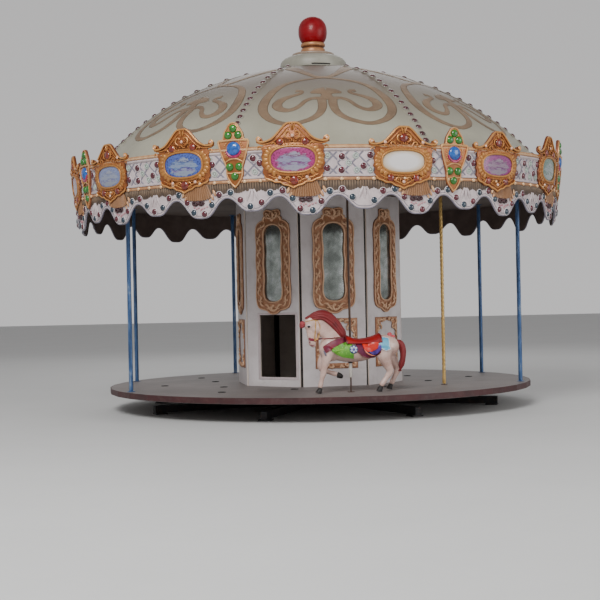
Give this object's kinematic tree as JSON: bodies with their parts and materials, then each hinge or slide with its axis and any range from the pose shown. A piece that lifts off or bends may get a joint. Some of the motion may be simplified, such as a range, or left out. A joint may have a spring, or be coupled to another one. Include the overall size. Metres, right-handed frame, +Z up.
{
  "type": "fairground carousel",
  "caption": "Small fairground carousel with a domed canopy, ornamented and scalloped cornice, panelled centre drum and round turning deck that carries a galloping horse and a bare pole.",
  "frame": {"origin": "on the turning axis at ground level, under the middle of the base frame", "axes": "+Z is up along the turning axis; -Y is the front, where the horse stands; +X is to the right as seen from the front"},
  "size_m": [7.0862, 7.0862, 5.695],
  "materials": {
    "dark_steel": "matt black paint on steel sections",
    "deck_plate": "worn light grey painted plate",
    "deck_rim_paint": "satin maroon paint",
    "drum_panel": "white moulded panels with gilded frames",
    "drum_post": "black paint",
    "ceiling": "dull brown laminate",
    "filmed_steel": "steel tube still in blue protective film",
    "canopy_board": "painted glass-reinforced moulding",
    "dome": "cream painted shell with tan scrolls",
    "finial_cap": "white gloss paint",
    "gold": "gilded metal",
    "red_ball": "high gloss red",
    "rod_steel": "dark oiled steel",
    "horse_paint": "hand painted gloss enamel",
    "saddle_paint": "hand painted gloss enamel"
  },
  "bodies": {
    "base": {"base_frame": "dark_steel", "centre_pedestal": "dark_steel"},
    "turntable": {"turntable_hub": "dark_steel", "deck_sector_1": "deck_plate", "deck_sector_2": "deck_plate", "deck_sector_3": "deck_plate", "deck_sector_4": "deck_plate", "deck_rim_1": "deck_rim_paint", "deck_rim_2": "deck_rim_paint", "deck_rim_3": "deck_rim_paint", "deck_rim_4": "deck_rim_paint", "drum_panel_1": "drum_panel", "drum_panel_2": "drum_panel", "drum_panel_3": "drum_panel", "drum_panel_4": "drum_panel", "drum_panel_5": "drum_panel", "drum_panel_6": "drum_panel", "drum_panel_7": "drum_panel", "drum_panel_8": "drum_panel", "drum_post_1": "drum_post", "drum_post_2": "drum_post", "drum_post_3": "drum_post", "drum_post_4": "drum_post", "drum_post_5": "drum_post", "drum_post_6": "drum_post", "drum_post_7": "drum_post", "drum_post_8": "drum_post", "ceiling": "ceiling", "perimeter_post_1": "filmed_steel", "perimeter_post_2": "filmed_steel", "perimeter_post_3": "filmed_steel", "perimeter_post_4": "filmed_steel", "perimeter_post_5": "filmed_steel", "perimeter_post_6": "filmed_steel", "canopy_board_1": "canopy_board", "canopy_board_2": "canopy_board", "canopy_board_3": "canopy_board", "canopy_board_4": "canopy_board", "canopy_board_5": "canopy_board", "canopy_board_6": "canopy_board", "canopy_board_7": "canopy_board", "canopy_board_8": "canopy_board", "dome_section_1": "dome", "dome_section_2": "dome", "dome_section_3": "dome", "dome_section_4": "dome", "finial_cap": "finial_cap", "finial_neck": "gold", "finial_ball": "red_ball", "horse_guide_rod": "rod_steel", "bare_guide_rod": "rod_steel"},
    "horse": {"horse_pole": "rod_steel", "horse_body": "horse_paint", "horse_saddle": "saddle_paint"},
    "loose_pole": {"bare_pole": "gold"}
  },
  "joints": [
    {"name": "carousel_spin", "type": "hinge", "parent": "base", "child": "turntable", "pos_m": [0, 0, 0.25], "axis": [0, 0, 1], "continuous": true},
    {"name": "horse_rise", "type": "slide", "parent": "turntable", "child": "horse", "axis": [0, 0, 1], "range_m": [0, 0.25]},
    {"name": "bare_pole_rise", "type": "slide", "parent": "turntable", "child": "loose_pole", "axis": [0, 0, 1], "range_m": [0, 0.25]}
  ]
}
